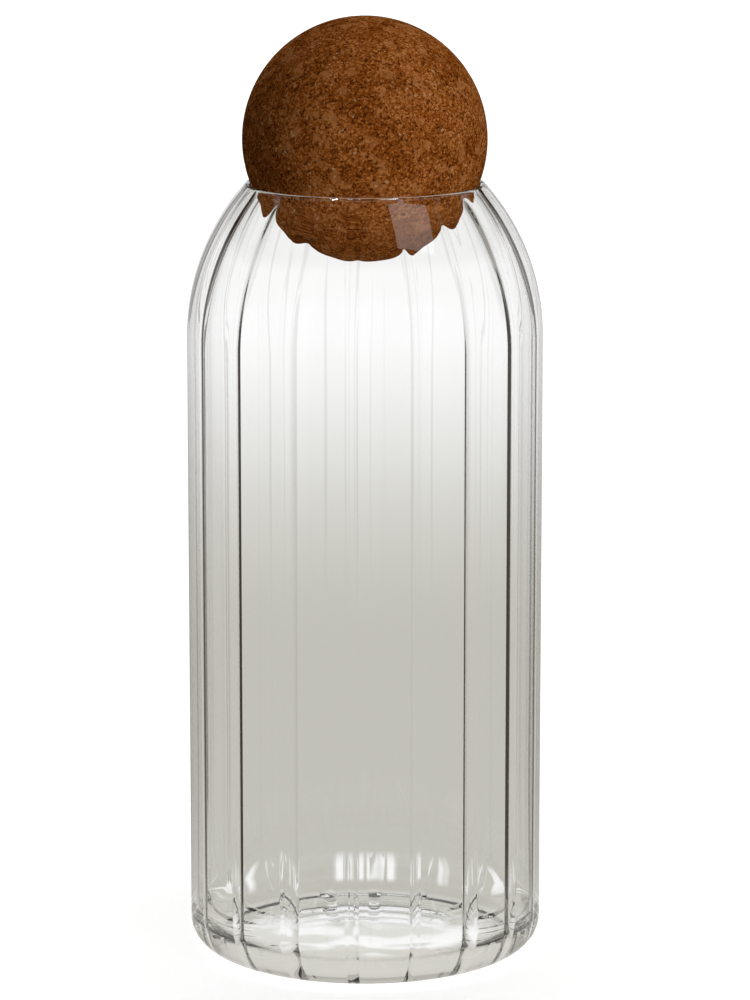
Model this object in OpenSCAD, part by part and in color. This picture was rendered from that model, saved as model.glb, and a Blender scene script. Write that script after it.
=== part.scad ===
// A tall ribbed glass storage jar, with a cork ball lying in its mouth as the stopper.
// Millimetres. The jar stands on z = 0 with its axis on the z axis.

/* [Glass jar] */
// Outside diameter of the straight body
body_d = 100; // [80:1:140]
// Height of the glass, from the foot to the top of the lip
jar_h = 219.5; // [180:0.5:320]
// Height of the shoulder, from where the straight body starts to lean in to the top of the lip
shoulder_h = 43; // [30:0.5:80]
// Inside diameter of the mouth, at the narrowest part of the lip
mouth_d = 63.8; // [40:0.2:70]
// Thickness of the wall between two ribs
wall_t = 2; // [1.6:0.1:3.5]
// Thickness of the floor at its edge
floor_t = 3; // [2.5:0.1:6]
// Outside radius of the rounded heel, where the wall turns into the base
heel_r = 8.4; // [5:0.1:14]
// Width of the flat ring that the jar stands on, round the shallow hollow under the base
foot_w = 8.6; // [4:0.1:16]
// Depth of that hollow in its middle
dish_h = 0.8; // [0.3:0.1:1.2]

/* [Optic ribs] */
// Number of ribs round the inside of the wall
rib_count = 18; // [8:1:24]
// Width of a rib, where it leaves the wall
rib_w = 5; // [3:0.1:7]
// How far a rib stands in from the straight wall
rib_h = 0.65; // [0.3:0.05:1.2]
// How much further a rib stands in at the neck, where the glass gathers
rib_gather = 0.2; // [0.1:0.05:0.4]
// How far short of the middle of the lip's bead the ribs end
rib_short = 0.35; // [0.2:0.05:3]
// Turn of the first rib about the axis, from the x axis
rib_turn = 5; // [0:1:20]

/* [Cork ball] */
// How much wider than the mouth the ball is
ball_over = 4.6; // [3:0.2:20]
// Gap that the ball keeps from the round lip that it lies on
seat_gap = 0.25; // [0.1:0.05:0.5]

/* [Hidden] */
$fn = 128;

body_r = body_d / 2;
ball_r = (mouth_d + ball_over) / 2;
bore_r = body_r - wall_t;

// The lip is a bead as thick as the wall, on the end of the wall's middle line.
lip_r = wall_t / 2;
lip_x = mouth_d / 2 + lip_r;
lip_z = jar_h - lip_r;

// The shoulder's middle line is one arc, which leaves the body upright and ends in the lip.
shoulder_z = jar_h - shoulder_h;
lean_in = body_r - lip_r - lip_x;
lean_up = lip_z - shoulder_z;
shoulder_r = (lean_in * lean_in + lean_up * lean_up) / (2 * lean_in);
shoulder_turn = 2 * atan2(lean_in, lean_up);
shoulder_x = body_r - lip_r - shoulder_r;

// The inside of the heel keeps the wall's thickness, above the thicker floor.
heel_in_r = heel_r - wall_t;
heel_x = body_r - heel_r;
heel_in_z = floor_t + heel_in_r;

// The hollow under the base is a slice of a large ball.
dish_x = heel_x - foot_w;
dish_r = (dish_x * dish_x + dish_h * dish_h) / (2 * dish_h);

// A rib's round face is part of a rod, whose back is sunk to the middle of the wall.
rib_r = (rib_w * rib_w / 4 + rib_h * rib_h) / (2 * rib_h);
rib_face_x = bore_r - rib_h;
rib_back_x = bore_r + lip_r;
// It bends over a little below the wall's own bend, which makes it stand in further and further.
rib_bend_z = shoulder_z - rib_gather / sin(shoulder_turn);
// It turns in round the heel from a little above the wall's own turn, and ends under the floor.
rib_lead = 0.4;
rib_sink = 0.3;
rib_heel_z = heel_in_z + rib_lead;
rib_heel_x = rib_face_x - (rib_heel_z - floor_t + rib_sink);

// The ball lies on the lip, and this is how far its middle stands above the bead's.
reach = ball_r + lip_r + seat_gap;
ball_z = lip_z + sqrt(reach * reach - lip_x * lip_x);

// Half of a flat-bottomed pot, seen in section, with a rounded corner.
module pot_section(radius, corner, bottom, top) {
    translate([0, bottom]) square([radius - corner, top - bottom]);
    translate([0, bottom + corner]) square([radius, top - bottom - corner]);
    translate([radius - corner, bottom + corner]) circle(r = corner);
}

// The part of a ring between the x axis and a turn, as the shoulder's section.
module ring_section(radius, thickness, turn) {
    intersection() {
        difference() {
            circle(r = radius + thickness / 2);
            circle(r = radius - thickness / 2);
        }
        polygon([[0, 0], [2 * radius, 0], 2 * radius * [cos(turn), sin(turn)]]);
    }
}

// The whole wall in section: body, shoulder and bead.
module glass_section() {
    difference() {
        pot_section(body_r, heel_r, 0, shoulder_z);
        pot_section(bore_r, heel_in_r, floor_t, shoulder_z + 1);
    }
    translate([shoulder_x, shoulder_z]) ring_section(shoulder_r, wall_t, shoulder_turn);
    translate([lip_x, lip_z]) circle(r = lip_r);
}

// Across a rib: the part of its rod that shows, and as much behind it as the wall holds.
module rib_section() {
    intersection() {
        translate([rib_face_x + rib_r, 0]) circle(r = rib_r);
        translate([rib_face_x, -rib_r]) square([rib_back_x - rib_face_x, 2 * rib_r]);
    }
}

// The rib's section swept about a level line at x, z, upwards from one turn to another.
module rib_bend(x, z, from, to) {
    translate([x, 0, z])
        rotate([90, -from, 0])
            rotate_extrude(angle = to - from)
                translate([-x, 0]) rib_section();
}

// One optic rib, from the edge of the floor, up the wall and over the shoulder to the lip.
module rib() {
    translate([0, 0, rib_heel_z]) linear_extrude(height = rib_bend_z - rib_heel_z) rib_section();
    rib_bend(rib_heel_x, rib_heel_z, -90, 0);
    rib_bend(shoulder_x, rib_bend_z, 0, shoulder_turn);
}

// All the ribs, ended clear of the ball.
module ribs() {
    difference() {
        for (i = [0 : rib_count - 1])
            rotate([0, 0, rib_turn + i * 360 / rib_count]) rib();
        translate([0, 0, ball_z]) sphere(r = reach + rib_short);
    }
}

module glass_jar() {
    color("azure", 0.35)
        union() {
            difference() {
                rotate_extrude() glass_section();
                translate([0, 0, dish_h - dish_r]) sphere(r = dish_r);
            }
            ribs();
        }
}

module cork_stopper() {
    color("peru") translate([0, 0, ball_z]) sphere(r = ball_r);
}

glass_jar();
cork_stopper();
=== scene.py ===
import math

import bmesh
import bpy
import numpy as np
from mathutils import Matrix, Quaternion, Vector, noise


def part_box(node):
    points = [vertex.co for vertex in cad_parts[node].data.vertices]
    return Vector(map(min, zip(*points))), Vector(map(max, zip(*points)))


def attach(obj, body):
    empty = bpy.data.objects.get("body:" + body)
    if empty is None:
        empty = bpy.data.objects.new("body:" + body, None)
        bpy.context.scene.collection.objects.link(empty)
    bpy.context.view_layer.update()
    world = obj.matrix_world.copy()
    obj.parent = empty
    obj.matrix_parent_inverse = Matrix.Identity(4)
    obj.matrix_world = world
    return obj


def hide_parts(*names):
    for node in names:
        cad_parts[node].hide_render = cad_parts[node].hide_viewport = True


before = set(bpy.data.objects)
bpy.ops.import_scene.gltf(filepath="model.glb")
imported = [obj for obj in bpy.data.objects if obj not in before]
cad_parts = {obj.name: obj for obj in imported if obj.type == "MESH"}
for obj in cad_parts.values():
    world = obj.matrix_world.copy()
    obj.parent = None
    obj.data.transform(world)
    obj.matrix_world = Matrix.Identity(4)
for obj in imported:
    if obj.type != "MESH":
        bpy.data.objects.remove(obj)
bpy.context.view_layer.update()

# A tall ribbed glass storage jar with a cork ball lying in its mouth.
# Everything is in metres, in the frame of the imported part: the jar stands on z = 0, on the z axis.

MM = 0.001

# Sizes of the glass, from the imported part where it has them
jar_low, jar_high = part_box("glass_jar")
ball_low, ball_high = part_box("cork_stopper")
BODY_R = jar_high.x
JAR_H = jar_high.z
BALL_R = (ball_high.z - ball_low.z) / 2
BALL_Z = (ball_high.z + ball_low.z) / 2
WALL = 2 * MM
FLOOR = 3 * MM
HEEL_R = 8.4 * MM
FOOT_W = 8.6 * MM
DISH_H = 0.8 * MM
SHOULDER_H = 43 * MM
SEAT_GAP = 0.25 * MM

# Optic ribs inside the wall. As in all blown glass they are a little uneven: their widths change by a third
# round the jar, and they stray from even spacing as the blow left the jar.
RIBS = 18
FIRST_RIB = math.radians(5)
PITCH = 2 * math.pi / RIBS
RIB_W = 4.2 * MM
RIB_W_CHANGE = 1.4 * MM
RIB_STRAY = math.radians(1.9)
# How steep a rib is where it meets the wall, which is the same for wide and narrow ones, and how soft that corner is
RIB_SLOPE = 0.43
RIB_SOFT = 0.02 * MM
# Up the shoulder the ribs melt into smooth swells, which are this high
SWELL_H = 0.60 * MM
SWELL_START = 30 * MM

# The lip and the shoulder, worked out as the part's own are
LIP_R = WALL / 2
LIP_Z = JAR_H - LIP_R
REACH = BALL_R + LIP_R + SEAT_GAP
LIP_X = math.sqrt(REACH**2 - (BALL_Z - LIP_Z) ** 2)
SHOULDER_Z = JAR_H - SHOULDER_H
LEAN_IN = BODY_R - LIP_R - LIP_X
LEAN_UP = LIP_Z - SHOULDER_Z
SHOULDER_R = (LEAN_IN**2 + LEAN_UP**2) / (2 * LEAN_IN)
SHOULDER_TURN = 2 * math.atan2(LEAN_IN, LEAN_UP)
SHOULDER_X = BODY_R - LIP_R - SHOULDER_R
HEEL_X = BODY_R - HEEL_R
# Inside, the heel is fuller than the part's, as the glass gathers there: the floor's edge in the photograph shows it
HEEL_IN_R = 11 * MM
HEEL_IN_X = BODY_R - WALL - HEEL_IN_R
HEEL_IN_Z = FLOOR + HEEL_IN_R


class Wire:
    """A socket of a node tree. Sums, products and the like of wires and numbers add Math nodes."""

    def __init__(self, tree, socket=None):
        self.tree = tree
        self.socket = socket

    def add(self, kind, settings=None, sockets=None, out=0):
        """Adds a node: its settings first, then a value or a wire for each named or numbered socket."""
        node = self.tree.nodes.new(kind)
        for name, value in (settings or {}).items():
            if name == "stops":
                set_stops(node.color_ramp, value)
            else:
                setattr(node, name, value)
        for name, value in (sockets or {}).items():
            if isinstance(value, Wire):
                self.tree.links.new(value.socket, node.inputs[name])
            else:
                node.inputs[name].default_value = value
        return Wire(self.tree, node.outputs[out] if node.outputs else None)

    def other(self, name):
        """Another output of the same node."""
        return Wire(self.tree, self.socket.node.outputs[name])

    def math(self, operation, *values):
        return self.add("ShaderNodeMath", {"operation": operation}, dict(enumerate(values)))

    def __add__(self, other):
        return self.math("ADD", self, other)

    def __sub__(self, other):
        return self.math("SUBTRACT", self, other)

    def __mul__(self, other):
        return self.math("MULTIPLY", self, other)

    def __truediv__(self, other):
        return self.math("DIVIDE", self, other)

    def __radd__(self, other):
        return self.math("ADD", other, self)

    def __rsub__(self, other):
        return self.math("SUBTRACT", other, self)

    def __rmul__(self, other):
        return self.math("MULTIPLY", other, self)

    def smooth(self, low, high, start=0.0, stop=1.0):
        """Eases from start to stop as this value goes from low to high."""
        settings = {"interpolation_type": "SMOOTHSTEP"}
        sockets = {0: self, 1: low, 2: high, 3: start, 4: stop}
        return self.add("ShaderNodeMapRange", settings, sockets)

    def blend(self, first, second):
        """Mixes two colours, with this value as the share of the second."""
        return self.add("ShaderNodeMix", {"data_type": "RGBA"}, {0: self, 6: first, 7: second}, 2)

    def either(self, first, second):
        """Mixes two shaders, with this value as the share of the second."""
        return self.add("ShaderNodeMixShader", None, {0: self, 1: first, 2: second})


def set_stops(ramp, stops):
    """Sets a colour ramp to (place, colour) pairs."""
    while len(ramp.elements) > 1:
        ramp.elements.remove(ramp.elements[-1])
    ramp.elements[0].position, ramp.elements[0].color = stops[0]
    for place, colour in stops[1:]:
        ramp.elements.new(place).color = colour


def new_material(name):
    """An empty node material, and the wire that adds to it."""
    material = bpy.data.materials.new(name)
    material.use_nodes = True
    material.node_tree.nodes.clear()
    return material, Wire(material.node_tree)


def new_piece(name, corners, faces, material, smooth=True):
    """A mesh object made of its corners and faces, with its material."""
    mesh = bpy.data.meshes.new(name)
    mesh.from_pydata(corners, [], faces)
    mesh.validate()
    mesh.polygons.foreach_set("use_smooth", [smooth] * len(mesh.polygons))
    mesh.materials.append(material)
    piece = bpy.data.objects.new(name, mesh)
    bpy.context.scene.collection.objects.link(piece)
    return piece


def clear_glass():
    """Clear glass that lets the lamps through, a little uneven in its polish."""
    material, nodes = new_material("clear_glass")
    place = nodes.add("ShaderNodeTexCoord", out="Object")
    film = nodes.add("ShaderNodeTexNoise", None, {"Vector": place, "Scale": 60.0, "Detail": 3.0})
    glass = nodes.add(
        "ShaderNodeBsdfPrincipled",
        None,
        {
            "Base Color": (0.998, 1.0, 0.998, 1),
            "Roughness": film.smooth(0.3, 0.8, 0.0, 0.012),
            "IOR": 1.47,
            "Transmission Weight": 1.0,
        },
    )
    through = nodes.add("ShaderNodeBsdfTransparent", None, {"Color": (0.88, 0.885, 0.88, 1)})
    shadow = nodes.add("ShaderNodeLightPath", out="Is Shadow Ray")
    nodes.add("ShaderNodeOutputMaterial", None, {"Surface": shadow.either(glass, through)})
    return material


def agglomerated_cork():
    """Pressed cork crumbs, sanded: fine flecks, dark bark specks, smooth pale chips and a few bright grains."""
    material, nodes = new_material("agglomerated_cork")
    place = nodes.add("ShaderNodeTexCoord", out="Object")
    warp = nodes.add("ShaderNodeTexNoise", None, {"Vector": place, "Scale": 900.0, "Detail": 2.0}, "Color")
    bent = nodes.add(
        "ShaderNodeVectorMath",
        {"operation": "MULTIPLY_ADD"},
        {0: warp, 1: (0.0010, 0.0010, 0.0010), 2: place},
    )

    def cells(scale, channel):
        """A random number for each crumb, with this many crumbs to the metre."""
        colour = nodes.add("ShaderNodeTexVoronoi", {"feature": "F1"}, {"Vector": bent, "Scale": scale}, "Color")
        return nodes.add("ShaderNodeSeparateColor", None, {"Color": colour}, channel)

    fleck = nodes.add("ShaderNodeTexNoise", None, {"Vector": place, "Scale": 2100.0, "Detail": 3.0})
    cloud = nodes.add("ShaderNodeTexNoise", None, {"Vector": place, "Scale": 110.0, "Detail": 3.0})
    level = 0.5 * cells(1700.0, "Red") + 0.35 * fleck.smooth(0.32, 0.68) + 0.15 * cloud.smooth(0.35, 0.65)
    body = nodes.add(
        "ShaderNodeValToRGB",
        {
            "stops": [
                (0.12, (0.045, 0.0085, 0.0008, 1)),
                (0.35, (0.135, 0.034, 0.0035, 1)),
                (0.60, (0.215, 0.064, 0.011, 1)),
                (0.86, (0.365, 0.143, 0.046, 1)),
            ]
        },
        {"Fac": level},
    )
    chips = cells(400.0, "Red").smooth(0.87, 0.90)
    streak = nodes.add("ShaderNodeTexNoise", None, {"Vector": bent, "Scale": 1100.0, "Detail": 1.0})
    chip_tone = streak.smooth(0.35, 0.65).blend((0.225, 0.075, 0.017, 1), (0.34, 0.135, 0.045, 1))
    with_chips = (0.7 * chips).blend(body, chip_tone)
    specks = cells(1500.0, "Green").smooth(0.94, 0.97)
    with_specks = (0.8 * specks).blend(with_chips, (0.030, 0.007, 0.0008, 1))
    grains = cells(1500.0, "Blue").smooth(0.988, 0.994)
    colour = (0.6 * grains).blend(with_specks, (0.40, 0.25, 0.13, 1))
    height = 0.5 * level + 0.3 * chips - 0.6 * specks
    bump = nodes.add("ShaderNodeBump", None, {"Strength": 0.5, "Distance": 0.00025, "Height": height})
    cork = nodes.add(
        "ShaderNodeBsdfPrincipled",
        None,
        {
            "Base Color": colour,
            "Roughness": fleck.smooth(0.2, 0.8, 0.92, 0.74),
            "Specular IOR Level": 0.0,
            "Normal": bump,
        },
    )
    nodes.add("ShaderNodeOutputMaterial", None, {"Surface": cork})
    return material


def arc(centre, radius, start, stop, steps):
    """Rows of an arc in the half section: place from the axis and up, and the way into the jar."""
    turn = np.linspace(start, stop, steps + 1)
    way = np.column_stack([np.cos(turn), np.sin(turn)])
    return np.array(centre) + radius * way, way


def line(start, stop, steps):
    """Points along a straight stretch of the half section."""
    return np.linspace(start, stop, steps + 1)


def glass_rows():
    """The closed half section of the glass as rows: place, way towards the inside, share of the ribs, share melted.

    It runs out under the base, up the outside, over the lip and down the inside to the floor.
    """
    dish_x = HEEL_X - FOOT_W
    rows = []

    def take(places, ways, ribs=0, melted=0):
        """Adds a stretch of rows, without its first, which the stretch before it ended in."""
        ribs = np.broadcast_to(ribs, len(places))
        melted = np.broadcast_to(melted, len(places))
        rows.extend(list(zip(places, ways, ribs, melted))[1 if rows else 0:])

    dish = line((CAP_R, 0), (dish_x, 0), 10)
    dish[:, 1] = DISH_H * (1 - (dish[:, 0] / dish_x) ** 2)
    take(dish, [(0, 1)] * len(dish))
    foot = line((dish_x, 0), (HEEL_X, 0), 3)
    take(foot, [(0, 1)] * len(foot))
    places, ways = arc((HEEL_X, HEEL_R), HEEL_R, -math.pi / 2, 0, 12)
    take(places, -ways)
    wall = line((BODY_R, HEEL_R), (BODY_R, SHOULDER_Z), 4)
    take(wall, [(-1, 0)] * len(wall))
    shoulder = (SHOULDER_X, SHOULDER_Z)
    places, ways = arc(shoulder, SHOULDER_R + LIP_R, 0, SHOULDER_TURN, 22)
    take(places, -ways)
    places, ways = arc((LIP_X, LIP_Z), LIP_R, SHOULDER_TURN, SHOULDER_TURN + math.pi, 12)
    over = np.linspace(0, 1, 13)
    take(places, ways, LIP_WAVES * np.sin(math.pi * over) * (1 - over), 1)
    places, ways = arc(shoulder, SHOULDER_R - LIP_R, SHOULDER_TURN, 0, 32)
    below_lip = np.linspace(0, SHOULDER_TURN, 33) * SHOULDER_R
    rise = np.clip(below_lip / RIB_FADE, 0, 1)
    melted = np.clip((below_lip[-1] - below_lip) / SWELL_START, 0, 1)
    take(places, -ways, rise * (2 - rise), melted**2 * (3 - 2 * melted))
    wall = line((BODY_R - WALL, SHOULDER_Z), (BODY_R - WALL, HEEL_IN_Z + THICK_H), 8)
    take(wall, [(-1, 0)] * len(wall), 1)
    wall = line((BODY_R - WALL, HEEL_IN_Z + THICK_H), (BODY_R - WALL, HEEL_IN_Z), 8)
    thick = np.linspace(0, 1, 9) ** 1.5
    take(wall, [(-1, 0)] * len(wall), 1 + (HEEL_GATHER - 1) * thick)
    places, ways = arc((HEEL_IN_X, HEEL_IN_Z), HEEL_IN_R, 0, -math.pi / 2, 20)
    take(places, -ways, HEEL_GATHER)
    floor = line((HEEL_IN_X, FLOOR), (CAP_R, FLOOR), 12)
    ends = np.clip((HEEL_IN_X - floor[:, 0]) / RIB_END, 0, 1)
    take(floor, [(0, 1)] * len(floor), HEEL_GATHER * (1 - ends) ** 2)
    return rows


CAP_R = 12 * MM
RIB_FADE = 4 * MM
THICK_H = 32 * MM
HEEL_GATHER = 1.0
RIB_END = 5 * MM
LIP_WAVES = 0.3


def rib_places():
    """The middle and the width of each rib, as turns about the axis."""
    even = FIRST_RIB + PITCH * np.arange(RIBS)
    front = even - math.radians(270)
    stray = RIB_STRAY * np.cos(2 * front - math.radians(60))
    width = RIB_W + RIB_W_CHANGE * np.sin(5 * front + math.radians(225))
    return even + stray, width / (BODY_R - WALL)


def rib_columns():
    """Turns of the glass's columns, crowded where a rib meets the wall, and where each lies across its rib."""
    middles, widths = rib_places()
    half = np.concatenate([np.linspace(0, 0.8, 8)[:-1], np.linspace(0.8, 1.3, 8)])
    across = np.concatenate([-half[:0:-1], half])
    turns, nearest = [], []
    for i in range(RIBS):
        after = (i + 1) % RIBS
        round_again = 2 * math.pi if after == 0 else 0
        start = middles[i] + 0.65 * widths[i]
        stop = middles[after] - 0.65 * widths[after] + round_again
        between = np.linspace(start, stop, FLAT_COLUMNS + 2)[1:-1]
        own = between - middles[i]
        other = middles[after] + round_again - between
        turns += [middles[i] + across * widths[i] / 2, between]
        nearest += [across, np.minimum(own / widths[i], other / widths[after]) * 2]
    return np.concatenate(turns), np.concatenate(nearest), np.repeat(widths, len(across) + FLAT_COLUMNS)


FLAT_COLUMNS = 7


def rib_height(across, width, melted):
    """How far a rib stands in from the wall: a crest with clear edges at -1 and 1, or where melted a smooth swell."""
    peak = RIB_SLOPE * width * (BODY_R - WALL) / 4
    crest = peak * (1 - across**2)
    crest = (crest + np.sqrt(crest**2 + RIB_SOFT**2)) / 2
    crest = np.where(np.abs(across) > 1.9, 0, crest)
    swell = SWELL_H * np.exp(-(across**2) / 2)
    return crest + (swell - crest) * melted


def ribbed_glass(material):
    """The whole glass as one closed skin of rows and columns, with ribs on its inner side."""
    turns, across, width = rib_columns()
    count = len(turns)
    corners, faces = [], []
    rows = glass_rows()
    for (radius, height), way, share, melted in rows:
        rib = share * rib_height(across, width, melted)
        from_axis = radius + way[0] * rib
        up = height + way[1] * rib
        corners += list(zip(from_axis * np.cos(turns), from_axis * np.sin(turns), up))
    for row in range(len(rows) - 1):
        for i in range(count):
            low, after = row * count + i, row * count + (i + 1) % count
            faces.append((low, after, after + count, low + count))
    close_middle(corners, faces, list(range(count)), DISH_H, -1)
    close_middle(corners, faces, list(range((len(rows) - 1) * count, len(rows) * count)), FLOOR, 1)
    return new_piece("ribbed_glass", corners, faces, material)


def close_middle(corners, faces, ring, height, facing):
    """Closes a ring of corners with fewer, wider columns that run in to the axis. facing is 1 up and -1 down."""
    every = 9
    wide = ring[::every]
    edge_r = math.hypot(*corners[ring[0]][:2])
    edge_z = corners[ring[0]][2]
    before = None
    for share in (0.8, 0.6, 0.4, 0.2):
        start = len(corners)
        lift = height + (edge_z - height) * share**2
        corners += [(corners[c][0] * share, corners[c][1] * share, lift) for c in wide]
        inner = list(range(start, start + len(wide)))
        for i in range(len(wide)):
            after = (i + 1) % len(wide)
            if before is None:
                outer = [ring[(i * every + k) % len(ring)] for k in range(every + 1)]
            else:
                outer = [before[i], before[after]]
            face = outer + [inner[after], inner[i]]
            faces.append(tuple(face if facing > 0 else face[::-1]))
        before = inner
    middle = len(corners)
    corners.append((0, 0, height))
    for i in range(len(wide)):
        face = (before[i], before[(i + 1) % len(wide)], middle)
        faces.append(face if facing > 0 else face[::-1])


def cork_ball(material):
    """The cork ball: a fine skin of squares, with open pores and crumbs that stand a little proud."""
    cube = bmesh.new()
    bmesh.ops.create_cube(cube, size=2)
    bmesh.ops.subdivide_edges(cube, edges=cube.edges, cuts=BALL_CUTS, use_grid_fill=True)
    for corner in cube.verts:
        even = Vector(math.tan(c * math.pi / 4) for c in corner.co)
        way = even.normalized()
        at = way * BALL_R
        near, _ = noise.voronoi(at / CRUMB)
        pore, _ = noise.voronoi(at / PORE_SPACING)
        gap = max(0.0, 1 - (near[1] - near[0]) / GAP_SHARE)
        hole = max(0.0, 1 - pore[0] / PORE_SHARE)
        sunk = CRUMB_DEPTH * gap**2 + PORE_DEPTH * hole * (2 - hole)
        corner.co = way * (BALL_R - sunk) + Vector((0, 0, BALL_Z))
    mesh = bpy.data.meshes.new("cork_ball")
    cube.to_mesh(mesh)
    cube.free()
    mesh.polygons.foreach_set("use_smooth", [True] * len(mesh.polygons))
    mesh.materials.append(material)
    ball = bpy.data.objects.new("cork_ball", mesh)
    bpy.context.scene.collection.objects.link(ball)
    return ball


BALL_CUTS = 118
CRUMB = 2.6 * MM
CRUMB_DEPTH = 0.1 * MM
GAP_SHARE = 0.12
PORE_SPACING = 7 * MM
PORE_SHARE = 0.12
PORE_DEPTH = 0.35 * MM

# The studio
NEAR_FLOOR = 0.36
FAR_FLOOR = 1.09
UNDER_JAR = 0.046
# Painted shade: glass sees the floor this grey near the jar, out to NEAR_FLOOR, turning white by FAR_FLOOR
PAINTED_SHADE_GREY = (0.545, 0.535, 0.485, 1)
# Painted shadow under the jar, as glass sees the floor there
SHADED_GREY = (0.66, 0.65, 0.60, 1)
WHITE = (1, 1, 1, 1)
DARK_ROOM = (0.045, 0.024, 0.013, 1)
DIM_ROOM = (0.37, 0.36, 0.325, 1)
STRIPS = 8
STRIP_SHADE = 0.14
# The white that makes up for the lit share of the floor near the jar, so that only its shadow is grey
UNSHADED = 1.25


class Rays:
    """What kind of ray sees the studio."""

    def __init__(self, nodes):
        path = nodes.add("ShaderNodeLightPath")
        self.camera = path.other("Is Camera Ray")
        self.mirrored = nodes.math("MAXIMUM", path.other("Is Glossy Ray"), path.other("Is Transmission Ray"))
        turned_back = nodes.math("GREATER_THAN", path.other("Glossy Depth"), 0.5)
        outside = nodes.math("LESS_THAN", path.other("Transmission Depth"), 2.5)
        self.front = turned_back * outside
        self.trapped = nodes.math("GREATER_THAN", path.other("Glossy Depth"), 1.5)


def strips(nodes, place):
    """How dark a direction round the jar is: soft cards stand halfway between the main views."""
    parts = nodes.add("ShaderNodeSeparateXYZ", None, {"Vector": place}, "X")
    turn = nodes.math("ARCTAN2", parts.other("Y"), parts) / (2 * math.pi / STRIPS)
    off = nodes.math("ABSOLUTE", nodes.math("FRACT", turn + STRIPS) - 0.5)
    return off.smooth(0.26, 0.345, STRIP_SHADE, 0.0)


def studio_floor():
    """A pale floor. The camera sees it white but for the jar's shadow, and glass sees it with painted shade: grey
    near the jar, white further off.
    """
    material, nodes = new_material("studio_floor")
    place = nodes.add("ShaderNodeTexCoord", out="Object")
    away = nodes.add("ShaderNodeVectorMath", {"operation": "LENGTH"}, {0: place}, "Value")
    rays = Rays(nodes)
    # Painted shade: straight through the glass the floor is grey near the jar and white far off
    straight = away.smooth(NEAR_FLOOR, FAR_FLOOR).blend(PAINTED_SHADE_GREY, WHITE)
    card = strips(nodes, place) * away.smooth(0.40, 0.75)
    straight = card.blend(straight, DARK_ROOM)
    # Painted light: white streaks on the floor near the foot, where the jar gathers light, seen only in the glass
    parts = nodes.add("ShaderNodeSeparateXYZ", None, {"Vector": place}, "X")
    along, across = nodes.math("ABSOLUTE", parts), nodes.math("ABSOLUTE", parts.other("Y"))
    painted_caustic_noise = nodes.add(
        "ShaderNodeTexNoise",
        {"noise_dimensions": "1D"},
        {"W": nodes.math("MINIMUM", along, across), "Scale": 190.0, "Detail": 1.0},
    )
    painted_caustic_streaks = painted_caustic_noise.smooth(0.51, 0.66) * away.smooth(0.054, 0.060) * away.smooth(0.064, 0.098, 1.0, 0.0)
    straight = painted_caustic_streaks.blend(straight, WHITE)
    # Painted shadow and light under the jar, seen in the glass: shaded grey, with white patches in the middle where
    # the jar gathers light
    painted_caustic_patches = nodes.add("ShaderNodeTexNoise", None, {"Vector": place, "Scale": 55.0, "Detail": 1.0})
    middle = away.smooth(0.029, 0.038, 1.0, 0.0)
    under = (painted_caustic_patches.smooth(0.42, 0.58) * middle).blend(SHADED_GREY, WHITE)
    straight = away.smooth(UNDER_JAR, 1.06 * UNDER_JAR, 1.0, 0.0).blend(straight, under)
    # Rays caught inside the glass see the painted shade grey near the foot and the dark room further off
    trapped = away.smooth(0.08, 0.20).blend(PAINTED_SHADE_GREY, DARK_ROOM)
    tone = rays.trapped.blend(straight, trapped)
    seen_in_glass = nodes.add("ShaderNodeEmission", None, {"Color": tone, "Strength": 1.0})
    pale = rays.camera.blend((0.35, 0.35, 0.35, 1), (0.8, 0.8, 0.8, 1))
    lit = nodes.add("ShaderNodeBsdfDiffuse", None, {"Color": pale})
    plain_white = nodes.add("ShaderNodeEmission", None, {"Color": WHITE, "Strength": UNSHADED})
    shade = away.smooth(0.06, 0.16, 0.4, 0.0)
    surface = rays.mirrored.either(rays.camera.either(lit, shade.either(plain_white, lit)), seen_in_glass)
    nodes.add("ShaderNodeOutputMaterial", None, {"Surface": surface})
    side = 6.0
    corners = [(-side, -side, 0), (side, -side, 0), (side, side, 0), (-side, side, 0)]
    floor = new_piece("studio_floor", corners, [(0, 1, 2, 3)], material, smooth=False)
    floor.location.z = -0.0002


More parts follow.
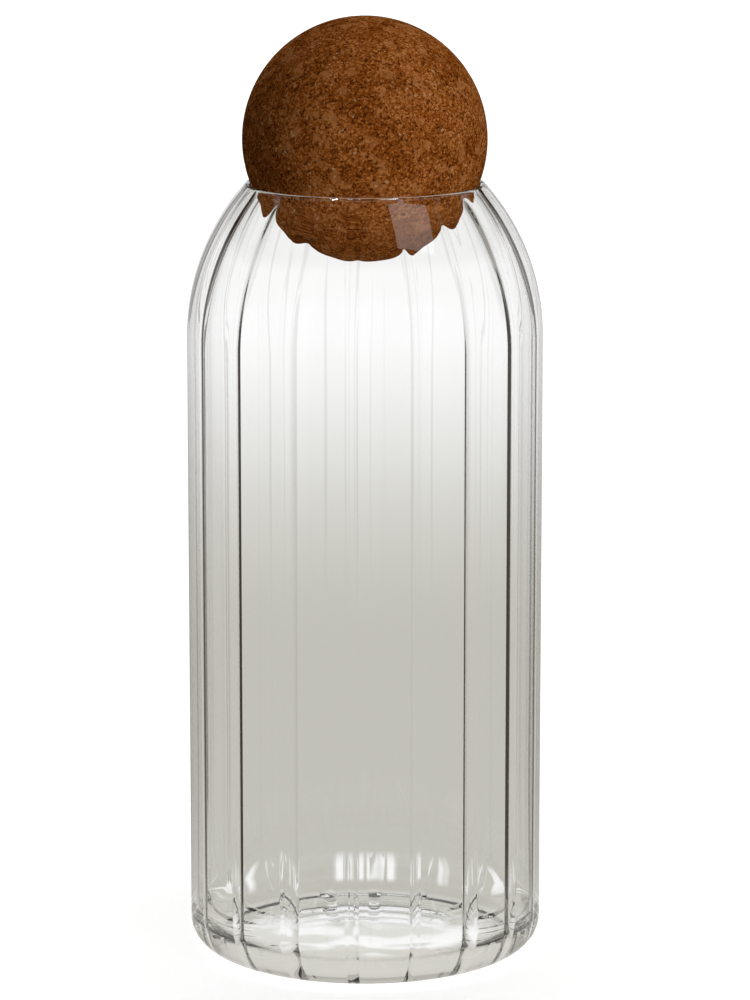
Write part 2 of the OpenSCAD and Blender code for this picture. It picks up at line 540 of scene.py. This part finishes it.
def studio_world():
    """White to the camera and straight through glass, a dark room to what glass turns back, and a soft light."""
    world = bpy.data.worlds.new("studio")
    bpy.context.scene.world = world
    world.use_nodes = True
    world.node_tree.nodes.clear()
    nodes = Wire(world.node_tree)
    rays = Rays(nodes)
    way = nodes.add("ShaderNodeTexCoord", out="Generated")
    up = nodes.add("ShaderNodeSeparateXYZ", None, {"Vector": way}, "Z")
    backdrop = strips(nodes, way).blend(WHITE, DARK_ROOM)
    behind = up.smooth(0.5, 0.7).blend(backdrop, DARK_ROOM)
    ceiling = up + 0.25 * up.other("Y")
    front = ceiling.smooth(0.38, 0.50).blend(backdrop, DARK_ROOM)
    overhead = up.smooth(0.70, 0.95).blend(DIM_ROOM, WHITE)
    mirrored = rays.trapped.blend(rays.front.blend(behind, front), overhead)
    soft = rays.mirrored.blend((0.23, 0.225, 0.21, 1), mirrored)
    seen = rays.camera.blend(soft, WHITE)
    sky = nodes.add("ShaderNodeBackground", None, {"Color": seen, "Strength": 1.0})
    nodes.add("ShaderNodeOutputWorld", None, {"Surface": sky})


def lamp(name, place, target, size, power, lights="cork", roll=0.0):
    """A soft rectangular lamp that faces its target. It lights the cork, or only shines back from the glass."""
    light = bpy.data.lights.new(name, "AREA")
    light.shape = "RECTANGLE"
    light.size, light.size_y = size
    light.energy = power
    holder = bpy.data.objects.new(name, light)
    holder.location = place
    facing = (Vector(target) - Vector(place)).to_track_quat("-Z", "Y")
    holder.rotation_euler = (facing @ Quaternion((0, 0, 1), roll)).to_euler()
    holder.visible_camera = False
    holder.visible_diffuse = lights == "cork"
    holder.visible_glossy = lights == "glass"
    holder.visible_transmission = False
    bpy.context.scene.collection.objects.link(holder)


def photograph_camera():
    """A long lens a little above the jar, looking down on it."""
    lens = bpy.data.cameras.new("camera")
    lens.sensor_width = 36
    lens.lens = 163.3
    lens.clip_start = 0.05
    lens.clip_end = 50
    camera = bpy.data.objects.new("camera", lens)
    camera.location = (0, -1.257, 0.3849)
    camera.rotation_euler = (math.radians(90 - 11.5), 0, math.radians(-0.129))
    bpy.context.scene.collection.objects.link(camera)
    bpy.context.scene.camera = camera


photograph_camera()
glass = ribbed_glass(clear_glass())
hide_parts("glass_jar")
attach(glass, "jar")
ball = cork_ball(agglomerated_cork())
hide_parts("cork_stopper")
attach(ball, "stopper")
studio_floor()
studio_world()
ball_middle = (0, 0, BALL_Z)
WINDOW_ROLL = math.radians(-29)
lamp("key", (0.94, -1.27, 0.48), ball_middle, (0.6, 1.0), 21.5)
lamp("above", (0, 0.63, 1.36), ball_middle, (0.8, 0.8), 9)
lamp("window", (0.61, -0.45, 1.25), ball_middle, (0.55, 0.6), 2.2, lights="glass", roll=WINDOW_ROLL)
lamp("lip_bar", (0, -0.06, 1.5), ball_middle, (0.8, 0.16), 28, lights="glass")

scene = bpy.context.scene
scene.cycles.glossy_bounces = 16
scene.cycles.transmission_bounces = 20
scene.cycles.max_bounces = 24
scene.view_settings.view_transform = "Standard"
